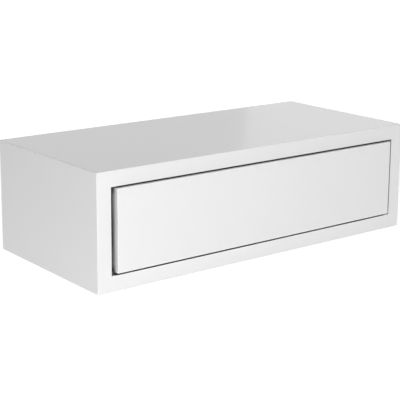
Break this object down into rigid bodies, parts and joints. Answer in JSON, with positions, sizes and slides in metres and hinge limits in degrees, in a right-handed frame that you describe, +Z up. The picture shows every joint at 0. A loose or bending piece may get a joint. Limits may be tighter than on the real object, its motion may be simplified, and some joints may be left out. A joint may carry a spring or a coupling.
{
  "type": "wall shelf with drawer",
  "caption": "Floating wall shelf, a box with an inset handle-less drawer on full-extension ball slides, opened by a push latch and hung on keyhole plates.",
  "frame": {"origin": "on the wall plane, midway between the seats of the two wall screws", "axes": "+X to the right along the shelf, +Y into the wall, +Z up; the drawer opens along -Y"},
  "size_m": [0.55, 0.2545, 0.16],
  "materials": {
    "white_lacquer": "MDF with white high-gloss lacquer",
    "white_board": "board faced with matt white melamine",
    "white_hardboard": "thin hardboard, white on both faces",
    "beech": "beech dowel",
    "zinc_steel": "zinc-plated rolled steel",
    "cage_steel": "thin zinc-plated strip",
    "ball_steel": "polished steel balls",
    "screw_steel": "zinc-plated screws",
    "spring_steel": "drawn spring wire",
    "white_plastic": "moulded white plastic",
    "grey_plastic": "moulded grey plastic",
    "soft_rubber": "soft rubber"
  },
  "bodies": {
    "cabinet": {"top_board": "white_lacquer", "bottom_board": "white_lacquer", "left_side": "white_lacquer", "right_side": "white_lacquer", "mitre_dowels": "beech", "back_panel": "white_hardboard", "rear_top_rail": "white_board", "rear_bottom_rail": "white_board", "rail_dowels": "beech", "left_hanger_plate": "zinc_steel", "right_hanger_plate": "zinc_steel", "hanger_screws": "screw_steel", "left_outer_member": "zinc_steel", "right_outer_member": "zinc_steel", "outer_member_screws": "screw_steel", "slide_bumpers": "soft_rubber", "latch_holder": "white_plastic", "latch_barrel": "grey_plastic", "latch_spring": "spring_steel", "latch_screws": "screw_steel"},
    "drawer": {"drawer_front": "white_lacquer", "drawer_inner_front": "white_board", "drawer_left_side": "white_board", "drawer_right_side": "white_board", "drawer_back": "white_board", "drawer_bottom": "white_hardboard", "drawer_dowels": "beech", "drawer_front_screws": "screw_steel", "left_inner_member": "zinc_steel", "right_inner_member": "zinc_steel", "inner_member_screws": "screw_steel", "strike_plate": "zinc_steel", "strike_screws": "screw_steel"},
    "latch_plunger": {"latch_plunger": "grey_plastic", "latch_tip": "soft_rubber"},
    "left_middle": {"left_middle_member": "zinc_steel"},
    "left_outer_bearing": {"left_outer_cage": "cage_steel", "left_outer_balls": "ball_steel"},
    "left_inner_bearing": {"left_inner_cage": "cage_steel", "left_inner_balls": "ball_steel"},
    "right_middle": {"right_middle_member": "zinc_steel"},
    "right_outer_bearing": {"right_outer_cage": "cage_steel", "right_outer_balls": "ball_steel"},
    "right_inner_bearing": {"right_inner_cage": "cage_steel", "right_inner_balls": "ball_steel"}
  },
  "joints": [
    {"name": "drawer_slide", "type": "slide", "parent": "cabinet", "child": "drawer", "axis": [0, -1, 0], "range_m": [-0.003, 0.2]},
    {"name": "left_middle_slide", "type": "slide", "parent": "cabinet", "child": "left_middle", "axis": [0, -1, 0], "range_m": [-0.0017, 0.1002]},
    {"name": "left_outer_bearing_slide", "type": "slide", "parent": "cabinet", "child": "left_outer_bearing", "axis": [0, -1, 0], "range_m": [-0.00095, 0.0502]},
    {"name": "left_inner_bearing_slide", "type": "slide", "parent": "cabinet", "child": "left_inner_bearing", "axis": [0, -1, 0], "range_m": [-0.00245, 0.1502]},
    {"name": "right_middle_slide", "type": "slide", "parent": "cabinet", "child": "right_middle", "axis": [0, -1, 0], "range_m": [-0.0017, 0.1002]},
    {"name": "right_outer_bearing_slide", "type": "slide", "parent": "cabinet", "child": "right_outer_bearing", "axis": [0, -1, 0], "range_m": [-0.00095, 0.0502]},
    {"name": "right_inner_bearing_slide", "type": "slide", "parent": "cabinet", "child": "right_inner_bearing", "axis": [0, -1, 0], "range_m": [-0.00245, 0.1502]},
    {"name": "latch_plunger_slide", "type": "slide", "parent": "cabinet", "child": "latch_plunger", "axis": [0, -1, 0], "range_m": [-0.0005, 0.0202], "deforming": ["latch_spring"]}
  ],
  "couplings": [
    {"joint": "left_middle_slide", "follows": "drawer_slide", "ratio": 0.5},
    {"joint": "left_outer_bearing_slide", "follows": "drawer_slide", "ratio": 0.25},
    {"joint": "left_inner_bearing_slide", "follows": "drawer_slide", "ratio": 0.75},
    {"joint": "right_middle_slide", "follows": "drawer_slide", "ratio": 0.5},
    {"joint": "right_outer_bearing_slide", "follows": "drawer_slide", "ratio": 0.25},
    {"joint": "right_inner_bearing_slide", "follows": "drawer_slide", "ratio": 0.75},
    {"joint": "latch_plunger_slide", "follows": "drawer_slide", "ratio": 0.1}
  ]
}
